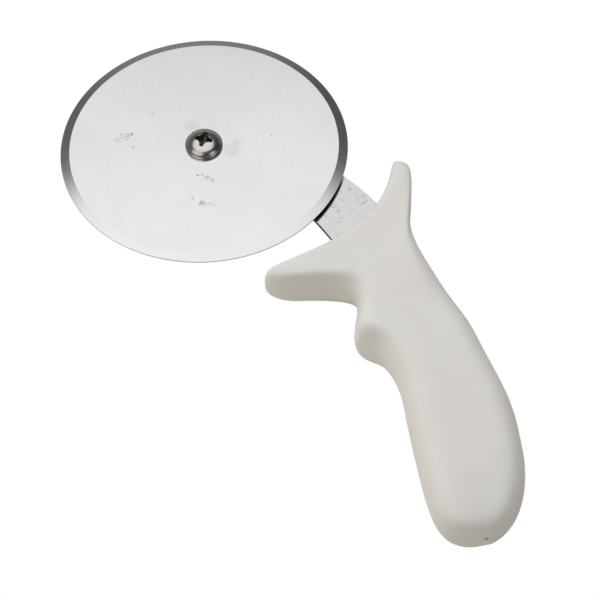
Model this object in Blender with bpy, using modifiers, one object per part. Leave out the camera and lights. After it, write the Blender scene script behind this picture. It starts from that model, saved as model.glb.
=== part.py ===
"""Pastry cutter wheel.

A single 4 inch stainless cutting wheel turns on a bushing at the hub of a
curved stainless arm.  The arm's tang is locked inside a one-piece moulded
handle with two finger guards, a finger bump and a rounded butt.

Frame: metres.  Origin at the centre of the axle screw's flat tip, +Z along
the axle from the tip to the screw's head, +X along the handle towards its
butt.
"""
import math

import bmesh
import bpy
from mathutils import Matrix, Vector

MM = 0.001

# All lengths are in millimetres, and every z is measured from the screw tip.
# On each piece "top" faces +Z and "back" faces -Z.

# ------------------------------------------------- stack of pieces on the axle
CLAMP_GAP = 0.05          # between two clamped faces
LOOSE_GAP = 0.1           # each side of the wheel and of the thrust washer
RUN_GAP = 0.08            # radial running clearance

NUT_BACK = 0.95
NUT_TOP = NUT_BACK + 4.0
SPRING_BACK = NUT_TOP + CLAMP_GAP
SPRING_TOP = SPRING_BACK + 1.5
PLAIN_BACK = SPRING_TOP + CLAMP_GAP
PLAIN_TOP = PLAIN_BACK + 1.2
ARM_BACK = PLAIN_TOP + CLAMP_GAP
ARM_TOP = ARM_BACK + 1.5
THRUST_BACK = ARM_TOP + LOOSE_GAP
THRUST_TOP = THRUST_BACK + 1.0
WHEEL_BACK = THRUST_TOP + LOOSE_GAP
WHEEL_TOP = WHEEL_BACK + 1.5
BUSH_BACK = ARM_TOP + CLAMP_GAP
BUSH_TOP = WHEEL_TOP + LOOSE_GAP
HEAD_BACK = BUSH_TOP + CLAMP_GAP
HEAD_TOP = HEAD_BACK + 3.7

# ------------------------------------------------------------- turning pieces
ROUND_SEG = 96            # segments of the wheel, bushing and thrust washer
SCREW_SEG = 64
SMALL_SEG = 48            # of the other washers and the nut's turning

BUSH_R, BUSH_BORE = 4.8, 3.3
WHEEL_BORE = BUSH_R + RUN_GAP
THRUST_R = 8.0
BUSH_CHAMFER = 0.2        # also the thrust washer's
PLAIN_R, PLAIN_BORE, PLAIN_CHAMFER = 7.9, 3.4, 0.15

WHEEL_R = 50.45           # 4 inch blank after grinding
GRIND_R = 47.27           # inner edge of the ground bevel
GRIND_DROP = 0.95         # depth of the bevel at the rim
EDGE_BREAK_R, EDGE_BREAK_Z = 0.03, 0.05    # small bevel outside the ground one
BACK_BREAK_R, BACK_BREAK_Z = 0.3, 0.15     # bevel at the back of the rim

# ------------------------------------------------------------------ the screw
SCREW_R = 3.05            # quarter inch machine screw
TIP_CHAMFER = 0.5
HEAD_R = 6.55
HEAD_SKIRT = 0.55         # upright edge below the dome
HEAD_CHAMFER = 0.1
DOME_ANGLES = (0, 12, 24, 36, 48, 60, 72, 82, 90)   # degrees from the axle
RECESS_TURN = 58.0        # degrees, one wing of the cross recess from +X
RECESS_REACH = 3.55       # from the axle to the end of a wing
RECESS_HALF = 0.76        # half width of a wing
RECESS_LEVELS = [(16.4, 1.0), (13.4, 0.56), (12.9, 0.14)]   # z, scale of the cross

# ------------------------------------------------------ spring washer and nut
SPRING_R, SPRING_BORE = 6.2, 3.45
SLIT_SIZE = (6.0, 1.1, 6.0)
SLIT_X = 5.0
SLIT_TILT = 28.0          # degrees about X

NUT_FLATS = 11.1          # jam nut, seven sixteenths across its flats
NUT_BORE = 3.2
NUT_TURN = 20.0           # degrees about the axle
TURNING_FACE_R = 4.8      # the turning profile, narrow beyond each face
TURNING_R = 7.2           # and wide at its middle
TURNING_OVER = 0.2        # how far it stands beyond each face
TURNING_DROP = 1.1        # from each face to its full radius

# -------------------------------------------------------------------- the arm
# The arm is a band about a centre line, which leaves the hub and bends twice
# towards the handle.
ARM_HEADING = 66.7        # degrees from +X, where the line leaves the hub
ARM_PATH = [(48.0, 71.0), (32.0, 76.0), (56.0, None)]  # length, bend radius
ARM_STEP = 4.0            # distance between points along the line
ARM_END_COUNT = 8         # segments round the tang's end
ARM_HUB_COUNT = 14        # and round the hub
ARM_HALF = 9.7            # half width beside the hub
ARM_FLARE = 1.0           # added where the arm enters the guard
TANG_HALF = 7.5           # half width of the tang
ARM_WIDEN = (36.0, 64.0)  # where it widens, measured along the centre line
ARM_TAPER = (68.0, 90.0)  # and where it narrows to the tang
ARM_BORE = 3.4
ARM_BORE_SEG = 32
LOCK_HOLES = [(81.0, 44.5), (104.0, 46.0)]   # centres, x and y
LOCK_HOLE_R = 3.6
LOCK_HOLE_SEG = 28
SLOT_GAP = 0.3            # clearance between the tang and the moulding

# ----------------------------------------------------------------- the handle
# The handle seen from above: where its outline turns, as pairs of (x, y)
# across the handle, the side with the lower y first.
OUTLINE = [
    ((60.5, 4.4), (26.9, 60.3)),       # front corners of the guard
    ((63.0, 3.9), (28.7, 62.7)),       # ear tips
    ((66.5, 8.0), (32.0, 65.0)),       # round the tips
    ((68.5, 15.5), (42.0, 62.0)),      # backs of the ears
    ((73.0, 26.5), (54.0, 57.5)),      # neck corner
    ((79.0, 30.5), (66.0, 57.0)),      # neck
    ((95.0, 25.5), (90.0, 60.5)),      # finger bump
    ((101.0, 31.0), (102.0, 63.0)),    # behind the bump
    ((114.0, 33.5), (114.0, 64.0)),    # hollow
    ((137.0, 30.5), (137.0, 65.0)),    # palm
    ((160.0, 28.0), (160.0, 60.5)),    # heel
    ((171.0, 29.5), (172.0, 53.5)),    # butt corner
    ((176.4, 38.0), (177.2, 43.5)),    # butt end
]
ROW_STEP = 12.0           # distance between rows of the cage on a long side
HANDLE_MID = (ARM_TOP + ARM_BACK) / 2   # z of the handle's middle plane
HANDLE_LEVEL = 2
FIT_ROUNDS = 12           # corrections that fit the cage to the outline
GUARD_HALF = 8.7          # half thickness of the guard
GRIP_HALF = 11.8          # and of the grip
SWELL = (45.0, 92.0)      # x over which it grows from one to the other
FRONT_DROP = 1.0          # the front row's half thickness is less by this
BUTT_X = 177.0
BUTT_LENGTH = 16.0        # the butt rounds off over this length
BUTT_BLUNT = 0.87         # 1 would round it to an edge
FRONT_BOW = 11.0          # how far the guard's front curves back
BOW_FADE = (45.0, 85.0)   # x over which that curve dies out
BOW_SKEW = 0.35           # more bow towards the side with the higher y
EDGE_IN = 2.3             # outermost column, in from each side
EAR_IN = 1.0              # the same on the ears, whose ends are steeper
EDGE_MAX = 0.085          # its limit, as a part of the width
EAR_ROWS = 3              # rows of the cage that belong to the ears
SHOULDER_IN = 6.0         # next column in
SHOULDER_MAX = 0.25       # its limit, as a part of the width
MIDDLE_SPANS = 5          # spans of the cage between the two shoulders
SIDE_EDGE = 0.77          # height of the outermost column, of the half thickness
FRONT_EDGE = 0.92         # the same along the top of the guard's front
FRONT_EDGE_ROWS = 2       # rows that have that height
SHOULDER_TOP = 0.985      # height of the shoulder column above the middle plane
SHOULDER_BACK = 1.0       # and below it: the back is a flat strip to lie on
FRONT_BULGE = 0.5         # how far each end face stands out
BUTT_BULGE = 1.2


# ------------------------------------------------------------------- helpers
def clear_scene():
    for obj in list(bpy.data.objects):
        bpy.data.objects.remove(obj, do_unlink=True)
    for mesh in list(bpy.data.meshes):
        bpy.data.meshes.remove(mesh)


def new_collection(name):
    collection = bpy.data.collections.new(name)
    bpy.context.scene.collection.children.link(collection)
    return collection


def material(name, color, metallic, roughness):
    mat = bpy.data.materials.new(name)
    mat.use_nodes = True
    inputs = mat.node_tree.nodes["Principled BSDF"].inputs
    inputs["Base Color"].default_value = (*color, 1.0)
    inputs["Metallic"].default_value = metallic
    inputs["Roughness"].default_value = roughness
    return mat


def mesh_object(name, shape, collection, mat=None, smooth_angle=32.0):
    """Turn a bmesh into an object, sharp where it bends by more than the angle."""
    mesh = bpy.data.meshes.new(name)
    shape.to_mesh(mesh)
    shape.free()
    mesh.shade_smooth()
    mesh.set_sharp_from_angle(angle=math.radians(smooth_angle))
    obj = bpy.data.objects.new(name, mesh)
    collection.objects.link(obj)
    if mat is not None:
        mesh.materials.append(mat)
    return obj


def turned(name, profile, segments, collection, mat=None, closed=True):
    """Turn a profile of (radius, z) in millimetres about the axle."""
    shape = bmesh.new()
    verts = [shape.verts.new((radius * MM, 0.0, z * MM)) for radius, z in profile]
    for start, end in zip(verts, verts[1:]):
        shape.edges.new((start, end))
    if closed:
        shape.edges.new((verts[-1], verts[0]))
    obj = mesh_object(name, shape, collection, mat)
    mod = obj.modifiers.new("Turn", "SCREW")
    mod.axis = "Z"
    mod.angle = math.tau
    mod.steps = segments
    mod.render_steps = segments
    mod.use_smooth_shade = True
    mod.use_merge_vertices = True
    mod.merge_threshold = 0.00001
    return obj


def chamfered_ring(bore, radius, back, top, chamfer):
    """Profile of a ring with chamfered outer edges."""
    return [
        (bore, top),
        (radius - chamfer, top),
        (radius, top - chamfer),
        (radius, back + chamfer),
        (radius - chamfer, back),
        (bore, back),
    ]


def boolean(obj, cutter, operation, name):
    """Combine obj with a cutter, which is hidden from renders."""
    cutter.hide_render = True
    cutter.display_type = "WIRE"
    mod = obj.modifiers.new(name, "BOOLEAN")
    mod.operation = operation
    mod.solver = "EXACT"
    mod.object = cutter


def circle_points(centre_x, centre_y, radius, count):
    return [Vector((centre_x + radius * math.cos(math.tau * k / count),
                    centre_y + radius * math.sin(math.tau * k / count)))
            for k in range(count)]


def direction(angle):
    return Vector((math.cos(angle), math.sin(angle)))


def ease(value, start, end):
    """0 before start, 1 after end, and smooth between them."""
    t = min(1.0, max(0.0, (value - start) / (end - start)))
    return t * t * (3.0 - 2.0 * t)


def plate(name, loops, z_back, z_top, collection, mat=None):
    """A flat plate from closed outlines, the later ones being its holes."""
    curve = bpy.data.curves.new(name + "_outline", "CURVE")
    curve.dimensions = "2D"
    curve.fill_mode = "BOTH"
    curve.extrude = (z_top - z_back) * MM / 2
    for loop in loops:
        spline = curve.splines.new("POLY")
        spline.points.add(len(loop) - 1)
        for point, place in zip(spline.points, loop):
            point.co = (place.x * MM, place.y * MM, 0.0, 1.0)
        spline.use_cyclic_u = True
    source = bpy.data.objects.new(name + "_outline", curve)
    collection.objects.link(source)
    bpy.context.view_layer.update()
    depsgraph = bpy.context.evaluated_depsgraph_get()
    filled = bpy.data.meshes.new_from_object(source.evaluated_get(depsgraph))
    shape = bmesh.new()
    shape.from_mesh(filled)
    bmesh.ops.remove_doubles(shape, verts=shape.verts, dist=0.000001)
    bmesh.ops.recalc_face_normals(shape, faces=shape.faces)
    obj = mesh_object(name, shape, collection, mat, smooth_angle=40.0)
    obj.location = (0.0, 0.0, (z_top + z_back) * MM / 2)
    bpy.data.objects.remove(source, do_unlink=True)
    bpy.data.meshes.remove(filled)
    return obj


# -------------------------------------------------------------- pieces: axle
def build_wheel(parts):
    """A flat disc, ground to a bevel on its top face."""
    steel = material("blade_steel", color=(0.78, 0.78, 0.79), metallic=1.0, roughness=0.16)
    bevel_z = WHEEL_TOP - GRIND_DROP
    turned("cutter_wheel", [
        (WHEEL_BORE, WHEEL_TOP),
        (GRIND_R, WHEEL_TOP),
        (WHEEL_R - EDGE_BREAK_R, bevel_z),
        (WHEEL_R, bevel_z - EDGE_BREAK_Z),
        (WHEEL_R, WHEEL_BACK + BACK_BREAK_Z),
        (WHEEL_R - BACK_BREAK_R, WHEEL_BACK),
        (WHEEL_BORE, WHEEL_BACK),
    ], ROUND_SEG, parts, steel)


def build_bushing(parts):
    """The wheel runs on it; it is clamped between the head and the arm."""
    bronze = material("bush_bronze", color=(0.58, 0.42, 0.24), metallic=1.0, roughness=0.40)
    profile = chamfered_ring(BUSH_BORE, BUSH_R, BUSH_BACK, BUSH_TOP, BUSH_CHAMFER)
    turned("axle_bushing", profile, ROUND_SEG, parts, bronze)


def build_thrust_washer(parts):
    """Loose washer between the wheel and the arm."""
    nylon = material("thrust_nylon", color=(0.80, 0.79, 0.74), metallic=0.0, roughness=0.45)
    profile = chamfered_ring(WHEEL_BORE, THRUST_R, THRUST_BACK, THRUST_TOP, BUSH_CHAMFER)
    turned("thrust_washer", profile, ROUND_SEG, parts, nylon)


def recess_cutter(cutters):
    """A cross that narrows in two stages towards -Z."""
    reach, half = RECESS_REACH, RECESS_HALF
    cross = [(reach, -half), (reach, half), (half, half), (half, reach),
             (-half, reach), (-half, half), (-reach, half), (-reach, -half),
             (-half, -half), (-half, -reach), (half, -reach), (half, -half)]
    shape = bmesh.new()
    rings = [[shape.verts.new((x * scale * MM, y * scale * MM, z * MM)) for x, y in cross]
             for z, scale in RECESS_LEVELS]
    for upper, lower in zip(rings, rings[1:]):
        for j in range(len(cross)):
            k = (j + 1) % len(cross)
            shape.faces.new((upper[j], lower[j], lower[k], upper[k]))
    shape.faces.new(rings[0])
    shape.faces.new(rings[-1][::-1])
    bmesh.ops.rotate(shape, verts=shape.verts, cent=(0, 0, 0),
                     matrix=Matrix.Rotation(math.radians(RECESS_TURN), 3, "Z"))
    bmesh.ops.recalc_face_normals(shape, faces=shape.faces)
    return mesh_object("recess_cutter", shape, cutters)


def build_screw(parts, cutters):
    """Domed head with a cross recess, plain shank, chamfered tip."""
    steel = material("bolt_steel", color=(0.60, 0.58, 0.55), metallic=1.0, roughness=0.22)
    dome_base = HEAD_BACK + HEAD_SKIRT
    rise = HEAD_TOP - dome_base
    dome = [(HEAD_R * math.sin(math.radians(angle)),
             dome_base + rise * math.cos(math.radians(angle)))
            for angle in DOME_ANGLES]
    screw = turned("axle_screw", dome + [
        (HEAD_R, HEAD_BACK + HEAD_CHAMFER),
        (HEAD_R - HEAD_CHAMFER, HEAD_BACK),
        (SCREW_R, HEAD_BACK),
        (SCREW_R, TIP_CHAMFER),
        (SCREW_R - TIP_CHAMFER, 0.0),
        (0.0, 0.0),
    ], SCREW_SEG, parts, steel, closed=False)
    boolean(screw, recess_cutter(cutters), "DIFFERENCE", "Cross recess")


def build_plain_washer(parts):
    """Plain washer behind the arm."""
    steel = material("washer_steel", color=(0.62, 0.61, 0.60), metallic=1.0, roughness=0.35)
    profile = chamfered_ring(PLAIN_BORE, PLAIN_R, PLAIN_BACK, PLAIN_TOP, PLAIN_CHAMFER)
    turned("plain_washer", profile, SMALL_SEG, parts, steel)


def build_spring_washer(parts, cutters):
    """A ring cut through by a slanted slit."""
    steel = material("spring_steel", color=(0.48, 0.47, 0.46), metallic=1.0, roughness=0.42)
    spring = turned("spring_washer", [
        (SPRING_BORE, SPRING_TOP),
        (SPRING_R, SPRING_TOP),
        (SPRING_R, SPRING_BACK),
        (SPRING_BORE, SPRING_BACK),
    ], SMALL_SEG, parts, steel)
    shape = bmesh.new()
    bmesh.ops.create_cube(shape, size=1.0)
    bmesh.ops.scale(shape, verts=shape.verts, vec=[size * MM for size in SLIT_SIZE])
    slit = mesh_object("slit_cutter", shape, cutters)
    slit.location = (SLIT_X * MM, 0.0, (SPRING_TOP + SPRING_BACK) * MM / 2)
    slit.rotation_euler = (math.radians(SLIT_TILT), 0.0, 0.0)
    boolean(spring, slit, "DIFFERENCE", "Slit")


def build_nut(parts, cutters):
    """A hexagonal jam nut whose corners are turned down at both faces."""
    steel = material("nut_steel", color=(0.60, 0.59, 0.58), metallic=1.0, roughness=0.30)
    corner_r = NUT_FLATS / math.sqrt(3) * MM
    shape = bmesh.new()
    bmesh.ops.create_cone(shape, cap_ends=True, segments=6, radius1=corner_r,
                          radius2=corner_r, depth=(NUT_TOP - NUT_BACK) * MM)
    nut = mesh_object("axle_nut", shape, parts, steel)
    nut.location = (0.0, 0.0, (NUT_TOP + NUT_BACK) * MM / 2)
    nut.rotation_euler = (0.0, 0.0, math.radians(NUT_TURN))
    turning = turned("nut_turning", [
        (NUT_BORE, NUT_TOP + TURNING_OVER),
        (TURNING_FACE_R, NUT_TOP + TURNING_OVER),
        (TURNING_R, NUT_TOP - TURNING_DROP),
        (TURNING_R, NUT_BACK + TURNING_DROP),
        (TURNING_FACE_R, NUT_BACK - TURNING_OVER),
        (NUT_BORE, NUT_BACK - TURNING_OVER),
    ], SMALL_SEG, cutters)
    boolean(nut, turning, "INTERSECT", "Turned corners")


# --------------------------------------------------------------- pieces: arm
def arc_between(centre, start, end, count):
    """Inner points of the arc from start to end, clockwise."""
    start_arm, end_arm = start - centre, end - centre
    start_angle = math.atan2(start_arm.y, start_arm.x)
    end_angle = math.atan2(end_arm.y, end_arm.x)
    while end_angle >= start_angle:
        end_angle -= math.tau
    points = []
    for k in range(1, count):
        t = k / count
        angle = start_angle + (end_angle - start_angle) * t
        radius = start_arm.length + (end_arm.length - start_arm.length) * t
        points.append(centre + direction(angle) * radius)
    return points


def arm_outline():
    """Closed outline of the arm, clockwise from the hub's upper side."""
    hub = Vector((0.0, 0.0))
    spot, heading, gone = hub, math.radians(ARM_HEADING), 0.0
    upper, lower = [], []

    def mark():
        half = ARM_HALF + ARM_FLARE * ease(gone, *ARM_WIDEN)
        half += (TANG_HALF - half) * ease(gone, *ARM_TAPER)
        side = Vector((-math.sin(heading), math.cos(heading))) * half
        upper.append(spot + side)
        lower.append(spot - side)

    for length, radius in ARM_PATH:
        count = max(1, round(length / ARM_STEP))
        pace = length / count
        turn = pace / radius if radius else 0.0
        for _ in range(count):
            mark()
            spot = spot + direction(heading - turn / 2) * pace
            heading -= turn
            gone += pace
    mark()
    lower.reverse()
    end_arc = arc_between(spot, upper[-1], lower[0], ARM_END_COUNT)
    hub_arc = arc_between(hub, lower[-1], upper[0], ARM_HUB_COUNT)
    return upper + end_arc + lower + hub_arc


def lock_circles(radius):
    return [circle_points(x, y, radius, LOCK_HOLE_SEG) for x, y in LOCK_HOLES]


def build_arm(parts):
    """Curved arm with its hub bore and the two holes that lock the tang."""
    steel = material("arm_steel", color=(0.66, 0.65, 0.63), metallic=1.0, roughness=0.28)
    bore = circle_points(0.0, 0.0, ARM_BORE, ARM_BORE_SEG)
    plate("support_arm", [arm_outline(), bore] + lock_circles(LOCK_HOLE_R),
          ARM_BACK, ARM_TOP, parts, steel)


# ------------------------------------------------------------ pieces: handle
def grow(outline, distance):
    """Offset a clockwise outline outwards by a distance."""
    grown = []
    for i, point in enumerate(outline):
        before = (point - outline[i - 1]).normalized()
        after = (outline[(i + 1) % len(outline)] - point).normalized()
        normal = Vector((-before.y, before.x))
        mitre = (normal + Vector((-after.y, after.x))).normalized()
        grown.append(point + mitre * (distance / max(0.5, mitre.dot(normal))))
    return grown


def edge_in(row):
    return EAR_IN if row < EAR_ROWS else EDGE_IN


def outline_rows():
    """Rows (x, y, x, y) across the handle: a spline through the outline's pairs."""
    knots = [Vector((*first, *last)) for first, last in OUTLINE]
    ends = [knots[0] * 2 - knots[1]] + knots + [knots[-1] * 2 - knots[-2]]
    rows = []
    for p0, p1, p2, p3 in zip(ends, ends[1:], ends[2:], ends[3:]):
        leap = p2 - p1
        longest = max(leap.xy.length, math.hypot(leap[2], leap[3]))
        count = max(1, round(longest / ROW_STEP))
        for k in range(count):
            t = k / count
            rows.append(0.5 * (2 * p1 + (p2 - p0) * t
                               + (2 * p0 - 5 * p1 + 4 * p2 - p3) * t * t
                               + (3 * p1 - p0 - 3 * p2 + p3) * t ** 3))
    rows.append(knots[-1].copy())
    return rows


def cage_rows():
    """The rows pushed out, so that the smoothed surface meets the outline.

    Smoothing draws a side in by a third of the way to the column beside it,
    and by a sixth of its bend along the handle.
    """
    wanted = []
    for i, row in enumerate(outline_rows()):
        first, last = Vector(row[:2]), Vector(row[2:])
        out = (last - first).normalized() * (edge_in(i) / 3)
        wanted.append(Vector((*(first - out), *(last + out))))
    rows = wanted
    for _ in range(FIT_ROUNDS):
        bends = [before - 2 * row + after
                 for before, row, after in zip(rows, rows[1:], rows[2:])]
        rows = ([wanted[0]]
                + [row - bend / 6 for row, bend in zip(wanted[1:-1], bends)]
                + [wanted[-1]])
    return rows


def half_thickness(row, x):
    half = GUARD_HALF + (GRIP_HALF - GUARD_HALF) * ease(x, *SWELL)
    if row == 0:
        half -= FRONT_DROP
    near_butt = max(0.0, (x - BUTT_X + BUTT_LENGTH) / BUTT_LENGTH)
    return half * math.sqrt(max(0.0, 1.0 - (BUTT_BLUNT * near_butt) ** 2))


def add_ring(shape, i, row):
    """Add one row's vertices: (first side, top, last side, back, butt direction)."""
    first, last = Vector(row[:2]), Vector(row[2:])
    across = last - first
    width = across.length
    to_butt = Vector((across.y, -across.x)) / width
    x = (first.x + last.x) / 2
    bow = FRONT_BOW * (1.0 - ease(x, *BOW_FADE))
    half = half_thickness(i, x)

    # Columns are parts of the width; heights and depths are parts of half.
    edge = min(edge_in(i) / width, EDGE_MAX)
    shoulder = min(SHOULDER_IN / width, SHOULDER_MAX)
    inner = [shoulder + (1 - 2 * shoulder) * k / MIDDLE_SPANS
             for k in range(1, MIDDLE_SPANS)]
    columns = [edge, shoulder] + inner + [1 - shoulder, 1 - edge]
    top_edge = FRONT_EDGE if i < FRONT_EDGE_ROWS else SIDE_EDGE
    flat = [1.0] * len(inner)
    heights = [top_edge, SHOULDER_TOP] + flat + [SHOULDER_TOP, top_edge]
    depths = [SIDE_EDGE, SHOULDER_BACK] + flat + [SHOULDER_BACK, SIDE_EDGE]

    def vertex(u, z):
        place = first + across * u
        place += to_butt * (bow * 4 * u * (1 - u) * (1 + BOW_SKEW * (2 * u - 1)))
        return shape.verts.new((place.x * MM, place.y * MM, (HANDLE_MID + z) * MM))

    top = [vertex(u, half * height) for u, height in zip(columns, heights)]
    back = [vertex(u, -half * depth) for u, depth in zip(columns, depths)]
    return vertex(0.0, 0.0), top, vertex(1.0, 0.0), back, to_butt


def close_end(shape, ring, bulge):
    """Close an end ring about a middle line, moved by bulge towards the butt."""
    first, top, last, back, to_butt = ring
    middle = [first]
    for upper, lower in zip(top[1:-1], back[1:-1]):
        place = (upper.co + lower.co) / 2
        place.x += to_butt.x * bulge * MM
        place.y += to_butt.y * bulge * MM
        middle.append(shape.verts.new(place))
    middle.append(last)
    for j in range(len(middle) - 1):
        shape.faces.new((top[j], top[j + 1], middle[j + 1], middle[j]))
        shape.faces.new((middle[j], middle[j + 1], back[j + 1], back[j]))


def handle_cage():
    """Cage of the handle: one closed ring of vertices for each row."""
    shape = bmesh.new()
    rings = [add_ring(shape, i, row) for i, row in enumerate(cage_rows())]
    loops = [[first] + top + [last] + back[::-1] for first, top, last, back, _ in rings]
    for near, far in zip(loops, loops[1:]):
        for j in range(len(near)):
            k = (j + 1) % len(near)
            shape.faces.new((near[j], far[j], far[k], near[k]))
    close_end(shape, rings[0], -FRONT_BULGE)
    close_end(shape, rings[-1], BUTT_BULGE)
    bmesh.ops.recalc_face_normals(shape, faces=shape.faces)
    return shape


def build_handle(parts, cutters):
    """One-piece handle.

    The tang's slot opens at the guard's front, and a post of the moulding
    passes through each lock hole.
    """
    plastic = material("handle_plastic", color=(0.68, 0.66, 0.61), metallic=0.0,
                       roughness=0.42)
    handle = mesh_object("handle", handle_cage(), parts, plastic, smooth_angle=180.0)
    soft = handle.modifiers.new("Soft form", "SUBSURF")
    soft.levels = HANDLE_LEVEL
    soft.render_levels = HANDLE_LEVEL
    slot = plate("slot_cutter",
                 [grow(arm_outline(), SLOT_GAP)] + lock_circles(LOCK_HOLE_R - SLOT_GAP),
                 ARM_BACK - SLOT_GAP, ARM_TOP + SLOT_GAP, cutters)
    boolean(handle, slot, "DIFFERENCE", "Tang slot")


# --------------------------------------------------------------------- build
def build():
    clear_scene()
    parts = new_collection("pastry_cutter_wheel")
    cutters = new_collection("cutters")
    build_wheel(parts)
    build_bushing(parts)
    build_thrust_washer(parts)
    build_screw(parts, cutters)
    build_plain_washer(parts)
    build_spring_washer(parts, cutters)
    build_nut(parts, cutters)
    build_arm(parts)
    build_handle(parts, cutters)


build()
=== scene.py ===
"""Pastry cutter wheel: a ground disc on an axle screw, a flat arm and a moulded handle.

The wheel lies flat with its axis on Z at the origin and its ground bevel up (+Z).
The arm leaves the hub towards +Y and bends round to +X, where the handle closes
round it.  The guard is the handle's front end, beside the wheel, and the butt is
its far end.  Sizes are in mm; MM turns them into metres where meshes are made.
"""
import math
from functools import cached_property, reduce

import bmesh
import bpy
from mathutils import Matrix, Vector
from mathutils.bvhtree import BVHTree


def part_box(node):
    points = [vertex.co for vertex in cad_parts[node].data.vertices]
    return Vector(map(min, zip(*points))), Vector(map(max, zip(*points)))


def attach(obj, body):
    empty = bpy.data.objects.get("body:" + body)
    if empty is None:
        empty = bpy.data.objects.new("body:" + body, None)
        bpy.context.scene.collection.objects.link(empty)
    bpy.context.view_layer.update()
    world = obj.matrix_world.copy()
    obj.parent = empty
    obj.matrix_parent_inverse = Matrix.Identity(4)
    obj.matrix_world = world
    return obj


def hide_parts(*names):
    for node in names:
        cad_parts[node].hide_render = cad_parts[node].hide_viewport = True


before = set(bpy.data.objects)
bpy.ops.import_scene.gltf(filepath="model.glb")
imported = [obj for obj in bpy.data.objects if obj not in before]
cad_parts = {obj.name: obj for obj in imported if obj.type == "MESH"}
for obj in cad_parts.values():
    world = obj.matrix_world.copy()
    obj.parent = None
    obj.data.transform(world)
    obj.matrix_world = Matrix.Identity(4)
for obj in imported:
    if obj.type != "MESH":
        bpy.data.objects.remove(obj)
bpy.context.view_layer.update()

MM = 0.001
ROOT = "frame"            # the body that carries all but the wheel and thrust washer
WHEEL = "wheel"
LOOSE = "thrust_washer"

scene = bpy.context.scene
parts = bpy.data.collections.new("looks")
scene.collection.children.link(parts)


# ------------------------------------------------------------ sizes, in mm
def mm_box(node):
    """Low and high corners of a CAD piece."""
    return [[c / MM for c in corner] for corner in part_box(node)]


BOXES = {node: mm_box(node) for node in (
    "cutter_wheel", "support_arm", "axle_screw", "axle_bushing", "thrust_washer",
    "plain_washer", "spring_washer", "axle_nut", "handle")}


def z_span(node):
    """Heights of a piece's base and top."""
    low, high = BOXES[node]
    return low[2], high[2]


def outer_radius(node):
    return BOXES[node][1][0]


WHEEL_R = outer_radius("cutter_wheel")
WHEEL_BASE, WHEEL_TOP = z_span("cutter_wheel")
GRIND_R = WHEEL_R - 3.18  # where the ground bevel starts
GRIND_DROP = 0.95         # how far it falls to the rim
RIM_CHAMFER_IN, RIM_CHAMFER_UP = 0.3, 0.15    # chamfer under the rim
ARM_BASE, ARM_TOP = z_span("support_arm")
HEAD_R = outer_radius("axle_screw")
SCREW_BASE, HEAD_TOP = z_span("axle_screw")
HEAD_BASE = 12.15
HEAD_SKIRT = 0.55         # upright band below the dome
BUSH_R = outer_radius("axle_bushing")
RUNNING_R = BUSH_R + 0.08     # bore of what turns on the bushing
HANDLE_MID = 8.55
FLOOR_Z = min(z_span("handle")[0], SCREW_BASE) - 0.05


# ----------------------------------------------------------- mesh helpers
def add_part(node, mesh, body):
    """Add the mesh as the looks of a CAD piece."""
    obj = bpy.data.objects.new(node + "_fine", mesh)
    parts.objects.link(obj)
    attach(obj, body)
    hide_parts(node)


def shade(mesh, sharp):
    """Smooth shading, with edges steeper than sharp degrees kept sharp."""
    mesh.shade_smooth()
    mesh.set_sharp_from_angle(angle=math.radians(sharp))


def finish_mesh(node, form, materials, sharp=35.0):
    """Turn a bmesh into the mesh that replaces a CAD piece."""
    bmesh.ops.recalc_face_normals(form, faces=form.faces)
    mesh = bpy.data.meshes.new(node + "_fine")
    form.to_mesh(mesh)
    form.free()
    shade(mesh, sharp)
    for material in materials:
        mesh.materials.append(material)
    return mesh


def reopened(mesh):
    """The mesh as a bmesh; the mesh is removed."""
    form = bmesh.new()
    form.from_mesh(mesh)
    bpy.data.meshes.remove(mesh)
    return form


def fillet(profile, radii, steps, hold):
    """Round the corners of an (r, z) profile.

    A holding row lies beside each end of an arc.  A radius of 0 keeps the corner.
    """
    rows = []
    for i, (corner, radius) in enumerate(zip(profile, radii)):
        if radius <= 0.0:
            rows.append(corner)
            continue
        corner = Vector(corner)
        before = Vector(profile[i - 1])
        after = Vector(profile[(i + 1) % len(profile)])
        to_before = (before - corner).normalized()
        to_after = (after - corner).normalized()
        half = math.acos(max(-1.0, min(1.0, to_before.dot(to_after)))) / 2
        reach = radius / math.tan(half)
        reach = min(reach, (before - corner).length * 0.45, (after - corner).length * 0.45)
        radius = reach * math.tan(half)
        centre = corner + (to_before + to_after).normalized() * (radius / math.sin(half))
        start, end = corner + to_before * reach, corner + to_after * reach
        first = math.atan2(start.y - centre.y, start.x - centre.x)
        last = math.atan2(end.y - centre.y, end.x - centre.x)
        sweep = (last - first + math.pi) % math.tau - math.pi
        if (before - start).length > hold * 3:
            rows.append(tuple(start + to_before * hold))
        for k in range(steps + 1):
            angle = first + sweep * k / steps
            rows.append((centre.x + radius * math.cos(angle),
                         centre.y + radius * math.sin(angle)))
        if (after - end).length > hold * 3:
            rows.append(tuple(end + to_after * hold))
    return rows


def bridge(form, first, second):
    """Faces between two closed rows of as many vertices."""
    for k in range(len(first)):
        j = (k + 1) % len(first)
        form.faces.new((first[k], second[k], second[j], first[j]))


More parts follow.
